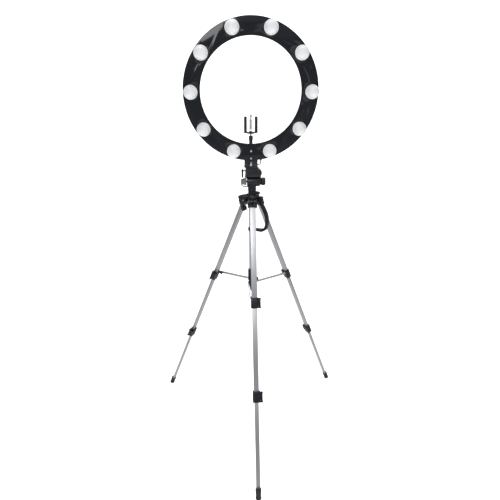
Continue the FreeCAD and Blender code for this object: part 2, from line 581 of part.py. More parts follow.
def spreader():
    """The hub that slides on the sleeve, and a flat brace beside each leg."""
    body = rod("hub_body", (0, 0, "hub_low"), "z", "hub_radius", "hub_high - hub_low")
    leg_reach, leg_height = leg_point(size("brace_station"), size("brace_inset"))
    ears = []
    for name, azimuth in LEGS.items():
        side = size("brace_side") - size("brace_thick") / 2
        lug = Part.makeBox(26, 8, 13, Vector(2, -side + 0.4, size("hub_low") + 0.5))
        drop = Part.makeBox(11.5, 8, 14, Vector(16.5, -side + 0.4, leg_height - 6))
        pin = Part.makeCylinder(2.5, 14, Vector(size("hub_reach"), -side - 5.5, leg_height),
                                Vector(0, 1, 0))
        ear = doc.addObject("Part::Feature", f"hub_ear_{name}")
        ear.Shape = lug.fuse([drop, pin])
        ear.Placement = Placement(Vector(), Rotation(Vector(0, 0, 1), azimuth))
        ears.append(ear)
    bore = rod("hub_bore", (0, 0, "hub_low - 1"), "z", "sleeve_radius + 0.08", "80")
    node("hub", cut("hub_cut", fuse("hub_sum", body, *ears), bore), COLUMN)
    span = leg_reach - size("hub_reach")
    low = "-brace_side - brace_thick / 2"
    for name, azimuth in LEGS.items():
        bar = block(f"brace_bar_{name}", ("0", low, "-brace_tall / 2"),
                    (span, "-brace_side + brace_thick / 2", "brace_tall / 2"))
        ends = [rod(f"brace_end_{name}_{i}", (at, low, "0"), "y", "brace_tall / 2", "brace_thick") for i,
                at in enumerate((0, span))]
        hole = rod(f"brace_hole_{name}", ("0", "-40", "0"), "y", "2.5 + running", "40")
        shape = cut(f"brace_{name}", fuse(f"brace_sum_{name}", bar, *ends), hole)
        place = COLUMN.multiply(Placement(Vector(), Rotation(Vector(0, 0, 1), azimuth)))
        node(f"{name}_brace", shape,
             place.multiply(Placement(Vector(size("hub_reach"), 0, leg_height), Rotation())))
    print("brace", round(span, 2), "pivot height", round(leg_height, 2), "leg reach", round(leg_reach, 2))


# ------------------------------------------------------------------ legs
def lock_body(name, station, wide, deep, inner_wide, inner_deep, corner):
    """A lock housing on a leg: socket above for the outer tube, guide below for the inner one."""
    z = f"-{station}"
    skin = block(f"{name}_skin", ("-lock_deep / 2", "-lock_wide / 2", f"{z} - lock_tall / 2"),
                 ("lock_deep / 2", "lock_wide / 2", f"{z} + lock_tall / 2"))
    skin = rounded(f"{name}_round", skin, 5.0, upright)
    socket = block(f"{name}_socket", (f"-{deep} / 2", f"-{wide} / 2", z),
                   (f"{deep} / 2", f"{wide} / 2", f"{z} + 40"))
    guide = block(f"{name}_guide", (f"-{inner_deep} / 2 - 0.3", f"-{inner_wide} / 2 - 0.3", f"{z} - 40"),
                  (f"{inner_deep} / 2 + 0.3", f"{inner_wide} / 2 + 0.3", f"{z} + 1"))
    ears = [block(f"{name}_ear_{i}", ("4", "lock_wide / 2 - 4", f"{z} + {low}"),
                  ("lock_deep / 2", "lock_wide / 2 + 13", f"{z} + {high}"))
            for i, (low, high) in enumerate(((18.6, 25), (-25, -18.6)))]
    pin = rod(f"{name}_pin", ("9", "lock_wide / 2 + 7", f"{z} - 20"), "z", "2", "40")
    return [skin, *ears, pin], [rounded(f"{name}_socket_round", socket, corner, upright),
                                rounded(f"{name}_guide_round", guide, 2.5, upright)]


def lock_lever(label, station, place):
    """A flip lever beside the housing, turning on a pin parallel to the leg."""
    z = f"-{station}"
    bar = block(f"{label}_bar", ("-12", "lock_wide / 2 + 0.8", f"{z} - 18"),
                ("9", "lock_wide / 2 + 12", f"{z} + 18"))
    barrel = rod(f"{label}_barrel", ("9", "lock_wide / 2 + 7", f"{z} - 18"), "z", "5", "36")
    hole = rod(f"{label}_hole", ("9", "lock_wide / 2 + 7", f"{z} - 19"), "z", "2 + running", "38")
    node(label, cut(f"{label}_cut", fuse(f"{label}_sum", bar, barrel), hole), place)


def leg(name, azimuth):
    """One leg in its own frame, then placed: castings, three tubes, two locks and a foot."""
    place = leg_place(azimuth)
    cheeks = fuse(f"{name}_fork_sum",
                  rod(f"{name}_fork_eye", (0, "-fork_wide / 2", 0), "y", "15", "fork_wide"),
                  block(f"{name}_fork_block", ("-13", "-fork_wide / 2", "-27"),
                        ("13", "fork_wide / 2", "0")))
    slot = block(f"{name}_fork_slot", ("-30", "-tongue / 2 - 0.3", "-14"), ("30", "tongue / 2 + 0.3", "30"))
    pin_hole = rod(f"{name}_fork_hole", (0, "-40", 0), "y", "pin_radius + running", "80")
    plug = block(f"{name}_plug", ("-upper_deep / 2 + tube_wall", "-upper_wide / 2 + tube_wall", "-66"),
                 ("upper_deep / 2 - tube_wall", "upper_wide / 2 - tube_wall", "-20"))
    lock, lock_tools = lock_body(f"{name}_top", "lock_one", "upper_wide", "upper_deep", "mid_wide",
                                 "mid_deep", 3.0)
    lug = block(f"{name}_brace_lug", ("-brace_inset - 6", "-lock_wide / 2 + 0.2", "-brace_station - 8"),
                ("-lock_deep / 2 + 1", "-lock_wide / 2 + 8", "-brace_station + 6"))
    fork = cut(f"{name}_fork", cheeks, slot, pin_hole)
    housing = cut(f"{name}_upper_housing", fuse(f"{name}_lock_sum", *lock, lug), *lock_tools)
    group = doc.addObject("Part::Compound", f"{name}_castings_group")
    group.Links = [fuse(f"{name}_fork_plug", fork, rounded(f"{name}_plug_round", plug, 1.8, upright)),
                   housing]
    node(f"{name}_leg_castings", group, place)
    node(f"{name}_upper_tube", tube(f"{name}_upper", "upper_wide", "upper_deep", "-27", "-lock_one"), place)
    lock_lever(f"{name}_upper_lever", "lock_one", place)
    node(f"{name}_middle_tube",
         tube(f"{name}_middle", "mid_wide", "mid_deep", "-lock_one + 60", "-lock_two", 2.5), place)
    lower, lower_tools = lock_body(f"{name}_low", "lock_two", "mid_wide", "mid_deep", "lower_wide",
                                   "lower_deep", 2.5)
    node(f"{name}_lower_lock",
         cut(f"{name}_lower_housing", fuse(f"{name}_lower_sum", *lower), *lower_tools), place)
    lock_lever(f"{name}_lower_lever", "lock_two", place)
    end = LEG_LENGTH - 34
    node(f"{name}_lower_tube",
         tube(f"{name}_lower", "lower_wide", "lower_deep", "-lock_two + 60", -end, 2.0), place)
    foot(name, azimuth)


def foot(name, azimuth):
    """A rubber boot on the lower tube that ends in a flat round sole on the floor."""
    reach, lean = size("foot_reach"), math.radians(LEG_TILT)
    axis = Vector(-math.sin(lean), 0, math.cos(lean))
    sole = Part.makeCone(12, 14, 6, Vector(reach, 0, 0)).fuse(Part.makeCone(14, 12, 8, Vector(reach, 0, 6)))
    boot = Part.makeCone(12, 14, 42, Vector(reach, 0, 6), axis)
    cavity = Part.makeBox(size("lower_deep"), size("lower_wide"), 60,
                          Vector(-size("lower_deep") / 2, -size("lower_wide") / 2, -LEG_LENGTH + 34))
    hinge = Placement(Vector(size("pin_reach"), 0, size("pin_height")),
                      Rotation(Vector(0, 1, 0), -LEG_TILT))
    cavity.Placement = hinge
    rubber = doc.addObject("Part::Feature", f"{name}_boot")
    rubber.Shape = sole.fuse(boot).cut(cavity).removeSplitter()
    node(f"{name}_foot", rubber, COLUMN.multiply(Placement(Vector(), Rotation(Vector(0, 0, 1), azimuth))))


# ------------------------------------------------------------------ power cord
LEAD = [(41, 136, 1491), (41, 137, 1480), (36, 143, 1472), (27, 150, 1469), (15, 156, 1470),
        (0, 164, 1471), (-14, 174, 1470), (-24, 184, 1462), (-28, 188, 1446), (-29, 188, 1424),
        (-30, 187, 1404), (-35, 185, 1391), (-46, 184, 1382), (-52, 184, 1370), (-45, 186, 1358),
        (-28, 190, 1354), (-9, 195, 1355), (6, 200, 1358), (15, 204, 1365), (20, 206, 1376),
        (20, 206.4, 1388.5)]


def cord_tube(points, radius):
    """A round tube along the cord's path."""
    path, radii = arc_path(points)
    first = Vector(*points[1]) - Vector(*points[0])
    ring = Part.Wire(Part.Circle(Vector(*points[0]), first, radius).toShape())
    solid = path.makePipeShell([ring], True, False)
    ratio = solid.Volume / (math.pi * radius ** 2 * path.Length)
    print("lead length", round(path.Length, 1), "volume ratio", round(ratio, 4))
    print("lead radii", [round(r, 1) for r in radii])
    return solid


def cord_parts():
    """The lead, its put-away coil, the tie that holds it and the plug."""
    lead = doc.addObject("Part::Feature", "lead")
    lead.Shape = cord_tube(LEAD, size("cord_diameter") / 2)
    node("power_lead", lead)
    centre = Vector(20, LEAD[-1][1], LEAD[-1][2] + size("coil_radius") + size("coil_section") / 2)
    half = size("coil_section") / 2
    outer = Part.makeCylinder(size("coil_radius") + half, 2 * half, centre - Vector(half, 0, 0),
                              Vector(1, 0, 0))
    inner = Part.makeCylinder(size("coil_radius") - half, 2 * half, centre - Vector(half, 0, 0),
                              Vector(1, 0, 0))
    coil = doc.addObject("Part::Feature", "coil")
    coil.Shape = outer.cut(inner)
    node("power_coil", coil)
    return centre, half


def cord_fittings(centre, half):
    """The strap round coil and handle socket, and a flat two-pin plug behind the coil."""
    ring = size("coil_radius")
    near = centre.y - 11
    band = Part.makeBox(centre.x + half + 3.2 + 12.4, 10, 48.4, Vector(-12.4, near, centre.z - 13.4))
    void = Part.makeBox(centre.x + half + 0.2 + 9.4, 12, 42, Vector(-9.4, near - 1, centre.z - 10.2))
    tie = doc.addObject("Part::Feature", "tie")
    tie.Shape = band.cut(void)
    node("cord_tie", tie)
    plug = doc.addObject("Part::Feature", "plug_shape")
    start = centre + Vector(0, ring + half, 0)
    body = Part.makeBox(14, 40, 34, start - Vector(7, 0, 17))
    body = body.makeFillet(5, [e for e in body.Edges if abs(e.Vertexes[0].Y - e.Vertexes[1].Y) > 1])
    pins = [Part.makeCylinder(2, 19, start + Vector(0, 39.5, side * 9.5), Vector(0, 1, 0))
            for side in (-1, 1)]
    plug.Shape = body.fuse(pins)
    node("plug", plug)


# ------------------------------------------------------------------ assembly and export
ring_plate("ring_front_panel", "panel_front", "panel_thick")
ring_plate("ring_board", "board_front", "board_thick")
lamp_parts()
ring_back()
phone_holder()
head()
column_parts()
crank()
carry_handle()
spreader()
for leg_name, leg_azimuth in LEGS.items():
    leg(leg_name, leg_azimuth)
cord_fittings(*cord_parts())
doc.recompute()

for thing in doc.Objects:
    if {"Invalid", "Error"} & set(thing.State):
        raise RuntimeError(f"{thing.Name} failed: {thing.State}")
os.makedirs("parts", exist_ok=True)
total = None
for thing in NODES:
    shape = thing.Shape
    if shape.isNull() or not shape.isValid():
        raise RuntimeError(f"{thing.Label} has no valid shape")
    shape.exportStep(os.path.join("parts", f"{thing.Label}.step"))
    box = shape.BoundBox
    total = box if total is None else total.united(box)
    print(f"{thing.Label:22s} {len(shape.Solids):3d} solids {shape.Volume / 1000:9.1f} cm3")
print("nodes", len(NODES), "box", total)
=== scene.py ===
"""Ring light on a camera tripod: looks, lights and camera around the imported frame.  Metres."""
import json
import math

import bmesh
import bpy
from mathutils import Matrix, Vector


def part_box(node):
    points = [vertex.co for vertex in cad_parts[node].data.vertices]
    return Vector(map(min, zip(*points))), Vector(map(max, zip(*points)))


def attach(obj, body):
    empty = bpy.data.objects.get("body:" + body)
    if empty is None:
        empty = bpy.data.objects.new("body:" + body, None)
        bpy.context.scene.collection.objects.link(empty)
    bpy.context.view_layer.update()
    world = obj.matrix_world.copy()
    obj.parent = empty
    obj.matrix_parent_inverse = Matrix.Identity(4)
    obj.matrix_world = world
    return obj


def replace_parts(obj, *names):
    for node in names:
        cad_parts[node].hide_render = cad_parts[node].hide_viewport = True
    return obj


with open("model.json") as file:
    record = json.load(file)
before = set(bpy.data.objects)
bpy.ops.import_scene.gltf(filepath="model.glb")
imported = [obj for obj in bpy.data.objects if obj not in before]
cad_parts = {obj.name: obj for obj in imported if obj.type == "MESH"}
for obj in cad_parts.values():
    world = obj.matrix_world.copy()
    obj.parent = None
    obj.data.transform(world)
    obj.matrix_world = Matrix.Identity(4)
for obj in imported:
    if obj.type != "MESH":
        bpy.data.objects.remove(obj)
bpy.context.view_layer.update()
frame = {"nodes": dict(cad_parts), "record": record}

SLOTS = {row["node"]: row["material_slot"] for row in frame["record"]["subparts"]}
BODIES = {node: body for body, nodes in frame["record"]["behaviour"]["bodies"].items() for node in nodes}
LEGS = ("front", "left", "right")
MM = 0.001


def middle(node):
    """The middle of a CAD node's box."""
    low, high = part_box(node)
    return (Vector(low) + Vector(high)) / 2


# ---------------------------------------------------------------- camera
COLUMN = middle("sleeve").xy
RING = middle("ring_front_panel")
RING_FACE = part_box("ring_front_panel")[0][1]


SENSOR = 36
FOCAL_SHARE = 0.8636
CAMERA_PLACE = (-0.1062, -1.9165, 1.8314)
PITCH, YAW, ROLL = (math.radians(angle) for angle in (21.255, 2.463, -0.2))


def make_camera():
    """A camera at standing height, a little left of the tripod's plane, looking down 21 degrees."""
    data = bpy.data.cameras.new("camera")
    data.sensor_width = SENSOR
    data.lens = SENSOR * FOCAL_SHARE
    data.shift_x, data.shift_y = 0.0027, 0.0023
    camera = bpy.data.objects.new("camera", data)
    bpy.context.scene.collection.objects.link(camera)
    turn = Matrix.Rotation(-YAW, 4, "Z") @ Matrix.Rotation(math.pi / 2 - PITCH, 4, "X")
    camera.matrix_world = Matrix.Translation(CAMERA_PLACE) @ turn @ Matrix.Rotation(ROLL, 4, "Z")
    bpy.context.scene.camera = camera


# ---------------------------------------------------------------- node helpers
# The Mix node's colour sockets, by number: its float sockets share their names.
MIX_LOW, MIX_HIGH, MIX_RESULT = 6, 7, 2


class Look:
    """A small builder for one procedural material."""

    def __init__(self, name, color, roughness, metallic=0.0):
        self.material = bpy.data.materials.new(name)
        self.material.use_nodes = True
        self.tree = self.material.node_tree
        self.shader = self.tree.nodes["Principled BSDF"]
        self.shader.inputs["Base Color"].default_value = (*color, 1)
        self.shader.inputs["Roughness"].default_value = roughness
        self.shader.inputs["Metallic"].default_value = metallic
        self.coords = self.node("ShaderNodeTexCoord").outputs["Object"]
        self.height = None

    def node(self, kind, **settings):
        """A new shader node with its settings."""
        made = self.tree.nodes.new(kind)
        for key, value in settings.items():
            setattr(made, key, value)
        return made

    def link(self, source, target):
        """Joins an output to an input."""
        self.tree.links.new(source, target)

    def scaled(self, stretch):
        """Object coordinates, stretched along each axis."""
        mapping = self.node("ShaderNodeMapping")
        mapping.inputs["Scale"].default_value = stretch
        self.link(self.coords, mapping.inputs["Vector"])
        return mapping.outputs["Vector"]

    def noise(self, scale, detail=4.0, stretch=(1, 1, 1)):
        """A noise value from 0 to 1."""
        made = self.node("ShaderNodeTexNoise")
        made.inputs["Scale"].default_value = scale
        made.inputs["Detail"].default_value = detail
        self.link(self.scaled(stretch), made.inputs["Vector"])
        return made.outputs["Fac"]

    def ramp(self, source, low, high, low_at=0.35, high_at=0.65):
        """Maps a value between low_at and high_at onto low to high."""
        made = self.node("ShaderNodeMapRange")
        made.inputs["From Min"].default_value = low_at
        made.inputs["From Max"].default_value = high_at
        made.inputs["To Min"].default_value = low
        made.inputs["To Max"].default_value = high
        self.link(source, made.inputs["Value"])
        return made.outputs["Result"]

    def colors(self, source, low, high):
        """Base colour between two colours."""
        made = self.node("ShaderNodeMix", data_type="RGBA")
        made.inputs[MIX_LOW].default_value = (*low, 1)
        made.inputs[MIX_HIGH].default_value = (*high, 1)
        self.link(source, made.inputs["Factor"])
        self.link(made.outputs[MIX_RESULT], self.shader.inputs["Base Color"])

    def rough(self, source, low, high):
        """Roughness between two values."""
        self.link(self.ramp(source, low, high), self.shader.inputs["Roughness"])

    def bump(self, source, strength, distance):
        """Adds a layer of relief on top of any earlier one."""
        made = self.node("ShaderNodeBump")
        made.inputs["Strength"].default_value = strength
        made.inputs["Distance"].default_value = distance
        self.link(source, made.inputs["Height"])
        if self.height:
            self.link(self.height, made.inputs["Normal"])
        self.height = made.outputs["Normal"]
        self.link(self.height, self.shader.inputs["Normal"])


def painted_edge_highlight(look, low, high, scale=60.0):
    """Lighter edges: a painted highlight on the sharply convex edges, broken into patches by noise."""
    # Painted highlight: the colour goes from low to high where the surface is sharply convex, in noise
    # patches.
    geometry = look.node("ShaderNodeNewGeometry")
    edge = look.ramp(geometry.outputs["Pointiness"], 0.0, 1.0, 0.52, 0.60)
    patch = look.ramp(look.noise(scale, 5.0), 0.2, 1.0)
    product = look.node("ShaderNodeMath", operation="MULTIPLY")
    look.link(edge, product.inputs[0])
    look.link(patch, product.inputs[1])
    look.colors(product.outputs["Value"], low, high)


def gloss_black():
    """The ring's polished front panel, very slightly wavy."""
    look = Look("gloss_black", (0.005, 0.006, 0.009), 0.1)
    look.rough(look.noise(7.0, 3.0), 0.07, 0.13)
    look.colors(look.noise(3.0, 2.0), (0.004, 0.005, 0.008), (0.007, 0.009, 0.012))
    look.bump(look.noise(2.2, 1.0), 0.02, 0.002)
    look.shader.inputs["Coat Weight"].default_value = 0.2
    look.shader.inputs["Coat Roughness"].default_value = 0.05
    return look.material


def board_black():
    """The ring's matt backing board."""
    look = Look("board_black", (0.03, 0.03, 0.032), 0.7)
    grain = look.noise(90.0, 6.0, (1, 1, 3))
    look.colors(grain, (0.022, 0.022, 0.024), (0.045, 0.044, 0.043))
    look.rough(grain, 0.55, 0.8)
    look.bump(look.noise(700.0, 4.0), 0.3, 0.0003)
    return look.material


def diffuser():
    """The lamps' opal domes, with a trace of glow."""
    look = Look("diffuser", (0.74, 0.74, 0.745), 0.42)
    look.colors(look.noise(24.0, 3.0), (0.70, 0.70, 0.705), (0.78, 0.78, 0.785))
    look.bump(look.noise(1500.0, 2.0), 0.08, 0.0001)
    look.shader.inputs["Subsurface Weight"].default_value = 0.35
    look.shader.inputs["Subsurface Radius"].default_value = (0.01, 0.01, 0.01)
    look.shader.inputs["Emission Color"].default_value = (1.0, 0.99, 0.97, 1)
    look.shader.inputs["Emission Strength"].default_value = 0.02
    look.shader.inputs["Sheen Weight"].default_value = 0.1
    return look.material


def bulb_white():
    """The lamps' white plastic bodies."""
    look = Look("bulb_white", (0.86, 0.86, 0.85), 0.3)
    look.rough(look.noise(60.0), 0.24, 0.38)
    look.colors(look.noise(18.0), (0.82, 0.82, 0.81), (0.88, 0.88, 0.87))
    look.bump(look.noise(900.0), 0.08, 0.0002)
    return look.material


def moulded(name, color, rough, grain=1100.0, edge=0.11):
    """Black or grey moulded plastic with a fine spark texture and a painted highlight on its edges."""
    look = Look(name, color, rough[0])
    # Painted highlight: the edges are lighter than the plastic's colour by edge.
    painted_edge_highlight(look, color, tuple(part + edge for part in color))
    look.rough(look.noise(45.0, 5.0), *rough)
    look.bump(look.noise(grain, 3.0), 0.35, 0.0003)
    look.bump(look.noise(14.0, 2.0), 0.15, 0.0006)
    return look.material


def powder_coat():
    """Powder-coated black steel."""
    look = Look("steel_black", (0.007, 0.008, 0.011), 0.5)
    # Painted highlight: lighter edges on the black powder coat.
    painted_edge_highlight(look, (0.006, 0.007, 0.010), (0.05, 0.05, 0.055), 90.0)
    look.rough(look.noise(80.0, 4.0), 0.38, 0.55)
    cells = look.node("ShaderNodeTexVoronoi")
    cells.inputs["Scale"].default_value = 1400.0
    look.link(look.coords, cells.inputs["Vector"])
    look.bump(cells.outputs["Distance"], 0.35, 0.0003)
    return look.material


def metal(name, color, rough, stretch, grain=260.0):
    """Drawn or brushed metal: fine grain and faint handling marks."""
    look = Look(name, color, rough[0], 1.0)
    lines = look.noise(grain, 5.0, stretch)
    look.rough(lines, *rough)
    look.colors(look.noise(9.0, 4.0), tuple(0.94 * part for part in color), color)
    look.bump(lines, 0.10, 0.0002)
    return look.material


def rubber():
    """Dusty black rubber for the pads and feet."""
    color = (0.018, 0.018, 0.018)
    look = Look("rubber", color, 0.75)
    dust = look.noise(30.0, 6.0)
    look.colors(look.ramp(dust, 0.0, 1.0, 0.45, 0.8), color, (0.06, 0.058, 0.055))
    look.rough(dust, 0.65, 0.9)
    look.bump(look.noise(1300.0, 3.0), 0.4, 0.0003)
    return look.material


def strap():
    """Woven black strap."""
    look = Look("strap", (0.03, 0.03, 0.03), 0.95)
    weave = look.node("ShaderNodeTexWave", bands_direction="DIAGONAL")
    weave.inputs["Scale"].default_value = 420.0
    weave.inputs["Distortion"].default_value = 1.5
    look.link(look.coords, weave.inputs["Vector"])
    look.colors(weave.outputs["Fac"], (0.016, 0.016, 0.017), (0.05, 0.05, 0.052))
    look.bump(weave.outputs["Fac"], 0.6, 0.0005)
    look.shader.inputs["Sheen Weight"].default_value = 0.4
    return look.material


MATERIALS = {
    "gloss_black": gloss_black(),
    "board_black": board_black(),
    "diffuser": diffuser(),
    "bulb_white": bulb_white(),
    # For the moulded looks, the last number (edge) is how much lighter the painted edge highlight is.
    "holder": moulded("holder", (0.02, 0.02, 0.02), (0.3, 0.45), edge=0.05),
    "wire": moulded("wire", (0.012, 0.012, 0.014), (0.35, 0.5), 700.0, 0.02),
    "steel_black": powder_coat(),
    "screw": metal("screw", (0.78, 0.79, 0.8), (0.16, 0.3), (1, 1, 1), grain=500.0),
    "plastic_black": moulded("plastic_black", (0.006, 0.0075, 0.011), (0.20, 0.34), edge=0.035),
    "grey": moulded("grey", (0.15, 0.145, 0.145), (0.4, 0.55), 900.0, 0.06),
    "alu": metal("alu", (0.80, 0.80, 0.81), (0.30, 0.38), (1, 1, 1), grain=420.0),
    "pad": rubber(),
    "clip_silver": metal("clip_silver", (0.72, 0.73, 0.75), (0.2, 0.35), (1, 1, 0.1)),
    "strap": strap(),
}


# ---------------------------------------------------------------- mesh helpers
def piece(name, mesh, slot, body, smooth=35):
    """A mesh object with the material for its record slot, on the body it rides on."""
    made = bpy.data.objects.new(name, mesh)
    bpy.context.scene.collection.objects.link(made)
    made.data.materials.clear()
    made.data.materials.append(MATERIALS[slot])
    made.data.set_sharp_from_angle(angle=math.radians(smooth))
    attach(made, body)
    return made


def finished(bm, name):
    """Turns a bmesh into smooth-shaded mesh data."""
    bmesh.ops.recalc_face_normals(bm, faces=bm.faces)
    for face in bm.faces:
        face.smooth = True
    mesh = bpy.data.meshes.new(name)
    bm.to_mesh(mesh)
    bm.free()
    return mesh


WELD = 1e-5
FLAT = math.radians(0.8)
HARD = math.radians(28)


def softened(node, bevel):
    """The CAD node's own shape with its flat faces merged and its hard edges rounded by bevel mm."""
    bm = bmesh.new()
    bm.from_mesh(frame["nodes"][node].data)
    bmesh.ops.remove_doubles(bm, verts=bm.verts, dist=WELD)
    bmesh.ops.dissolve_limit(bm, angle_limit=FLAT, verts=bm.verts, edges=bm.edges)
    edges = [edge for edge in bm.edges if len(edge.link_faces) == 2 and edge.calc_face_angle(0) > HARD]
    bmesh.ops.bevel(bm, geom=edges, offset=bevel * MM, segments=2, profile=0.6, affect="EDGES",
                    clamp_overlap=True)
    made = piece(f"{node}_shell", finished(bm, node), SLOTS[node], BODIES[node])
    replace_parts(made, node)
    return made


def lathe(bm, profile, place, steps=64, wave=None):
    """Spins (radius, height) points in mm about local +Z; wave(angle, index) scales the radius."""
    rings = []
    for index, (radius, height) in enumerate(profile):
        if radius < 1e-6:
            rings.append([bm.verts.new(place @ Vector((0, 0, height * MM)))])
            continue
        ring = []
        for step in range(steps):
            angle = 2 * math.pi * step / steps
            reach = radius * MM * (wave(angle, index) if wave else 1)
            point = Vector((reach * math.cos(angle), reach * math.sin(angle), height * MM))
            ring.append(bm.verts.new(place @ point))
        rings.append(ring)
    for low, high in zip(rings, rings[1:]):
        for step in range(steps):
            after = (step + 1) % steps
            if len(low) == 1:
                bm.faces.new((low[0], high[after], high[step]))
            elif len(high) == 1:
                bm.faces.new((low[step], low[after], high[0]))
            else:
                bm.faces.new((low[step], low[after], high[after], high[step]))


def arc(centre, radius, start, end, steps=8):
    """(radius, height) points on an arc, angles in degrees from the outward direction."""
    points = []
    for step in range(steps + 1):
        angle = math.radians(start + (end - start) * step / steps)
        points.append((centre[0] + radius * math.cos(angle), centre[1] + radius * math.sin(angle)))
    return points


def aimed(point, direction):
    """A frame at a point whose +Z is a direction."""
    return Matrix.Translation(point) @ Vector(direction).to_track_quat("Z", "Y").to_matrix().to_4x4()


# ---------------------------------------------------------------- lamps
LAMP_COUNT = 10
LAMP_CIRCLE = 0.262


def lamp_frames():
    """A frame on the panel's face for each lamp, +Z out of the panel."""
    places = []
    for index in range(LAMP_COUNT):
        angle = 2 * math.pi * (index + 0.5) / LAMP_COUNT
        point = RING + LAMP_CIRCLE * Vector((math.sin(angle), 0, math.cos(angle)))
        point.y = RING_FACE
        places.append(aimed(point, (0, -1, 0)))
    return places


def on_lamps(name, profile, slot, node, smooth=50, wave=None):
    """Spins one profile at every lamp, in place of a CAD node."""
    bm = bmesh.new()
    for place in lamp_frames():
        lathe(bm, profile, place, 72, wave)
    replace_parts(piece(name, finished(bm, name), slot, BODIES[node], smooth), node)


def lamps():
    """Opal domes, white bodies with a rim round each dome, and ribbed lampholders."""
    dome = [(25.0, 61.0), (26.2, 61.4), (26.4, 66.0)]
    for step in range(1, 14):
        rise = math.pi / 28 * step
        dome.append((26.4 * math.cos(rise), 66 + 30 * math.sin(rise)))
    dome.append((0, 96))
    shell = [(13.0, -24.0), (14.2, 3.5), (15.0, 7.0), (17.0, 15.0), (20.2, 26.0), (24.6, 38.0)]
    shell += [(28.2, 47.0), (29.7, 52.0), (30.0, 56.0), (29.8, 59.5), (29.0, 61.4), (27.6, 62.0)]
    shell += [(26.7, 61.6), (26.5, 60.4)]
    cup = [(13.8, 2.0), (14.4, 3.0), (21.4, 3.0), (22.3, 2.6), (22.5, 1.6), (22.5, 0.05)]
    rear = [(18.9, 0.0), (19.0, -14.0), (19.0, -31.5), (18.2, -33.4), (16.8, -34.0), (7.0, -34.0)]
    rear += [(6.4, -31.0), (0, -31)]
    ribbed = (len(cup) + 1, len(cup) + 2)
    on_lamps("lamp_domes", dome, "diffuser", "bulb_diffusers")
    on_lamps("lamp_bodies", shell, "bulb_white", "bulb_bodies")
    on_lamps("lampholder_cups", cup + rear, "holder", "lampholders", 35,
             lambda angle, index: 0.97 if index in ribbed and math.cos(24 * angle) > 0 else 1)


# ---------------------------------------------------------------- knobs and handles
def grip_ribs(angle, index):
    """Twenty grip ribs on the rim, which is points 5 to 9 of the knob's profile, as a share of its radius."""
    if index not in range(5, 10):
        return 1
    return 1 - 0.055 * (0.5 + 0.5 * math.cos(20 * angle)) ** 0.6


def tilt_knob():
    """The ribbed tilt knob with its dished face."""
    centre = middle("tilt_knob")
    place = aimed(Vector((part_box("tilt_knob")[0][0], centre.y, centre.z)), (1, 0, 0))
    profile = [(5.2, 6.0), (5.2, 0.0), (13.0, 0.0), (15.0, 0.6), (16.4, 2.2)]
    profile += [(18.4, 4.4), (18.9, 7.0), (18.9, 17.0), (18.4, 19.6), (16.8, 21.2)]
    profile += [(15.0, 21.8), (12.6, 21.8), (11.6, 21.0), (0, 20.8)]
    bm = bmesh.new()
    lathe(bm, profile, place, 200, grip_ribs)
    grip = piece("tilt_knob_grip", finished(bm, "tilt_knob"), "plastic_black", BODIES["tilt_knob"], 40)
    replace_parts(grip, "tilt_knob")


def tilt_cap():
    """The grey cover on the barrel's other end, with shallow steps."""
    centre = middle("tilt_cap")
    place = aimed(Vector((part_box("tilt_cap")[1][0], centre.y, centre.z)), (-1, 0, 0))
    profile = [(5.1, 14.0), (5.1, 0.1), (16.6, 0.1), (17.4, 0.8), (17.4, 4.5), (16.6, 5.2)]
    profile += [(16.4, 6.0), (16.6, 6.8), (15.4, 11.0), (13.6, 17.0), (12.2, 21.2), (11.0, 23.4)]
    profile += [(8.8, 24.2), (0, 24.3)]
    bm = bmesh.new()
    lathe(bm, profile, place, 96)
    cover = piece("tilt_cap_cover", finished(bm, "tilt_cap"), "grey", BODIES["tilt_cap"], 40)
    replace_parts(cover, "tilt_cap")


# Edge bevels in mm, by CAD node; the second table is by the end of the node's name on each leg.
CAST = {
    "ring_front_panel": 0.5, "ring_board": 0.8, "ring_bracket": 0.5, "junction_box": 1.2, "phone_stem": 0.8,
    "phone_collar": 1.0, "phone_clip": 1.4, "clip_hook": 0.6, "camera_platform": 0.9, "tilt_cradle": 1.6,
    "platform_lever": 1.6, "pan_yoke": 1.2, "pan_handle": 1.4, "centre_column": 0.5, "sleeve": 0.4,
    "apex": 1.4, "crank": 1.2, "column_lock": 1.2, "carry_handle": 1.2, "hub": 1.2, "end_cap": 1.2,
    "hinge_pins": 0.6, "cord_tie": 0.4, "plug": 0.5, "ring_screws": 0.4, "wiring": 0.2,
}
LEG_CAST = {
    "leg_castings": 1.2, "upper_lever": 1.6, "lower_lever": 1.6, "lower_lock": 1.2, "foot": 1.4, "brace": 0.5,
    "upper_tube": 0.25, "middle_tube": 0.25, "lower_tube": 0.25,
}


def bar_mesh(name, low, high, radius):
    """A round-ended bar between two points in metres, with its radius in mm."""
    length = (high - low).length / MM
    profile = [(0, 0)] + arc((0, radius), radius, -80, 0, 6)
    profile += arc((0, length - radius), radius, 0, 80, 6) + [(0, length)]
    bm = bmesh.new()
    lathe(bm, profile, aimed(low, high - low), 32)
    return finished(bm, name)


def slab(name, centre, size, node):
    """A thin pale block fixed to a CAD node."""
    bm = bmesh.new()
    bmesh.ops.create_cube(bm, size=1, matrix=Matrix.Translation(centre) @ Matrix.Diagonal((*size, 1)))
    bmesh.ops.bevel(bm, geom=bm.edges[:], offset=0.2 * MM, segments=2, affect="EDGES")
    piece(name, finished(bm, name), "bulb_white", BODIES[node])


def cradle_ribs():
    """Two round ribs across the cradle's front, under the platform."""
    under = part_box("camera_platform")[0]
    half = 27 * MM
    for index, drop in enumerate((11 * MM, 23 * MM)):
        start = Vector((COLUMN.x - half, under.y + 2.2 * MM, under.z - drop))
        end = Vector((COLUMN.x + half, start.y, start.z))
        piece(f"cradle_rib_{index}", bar_mesh("rib", start, end, 3), "plastic_black", BODIES["tilt_cradle"])


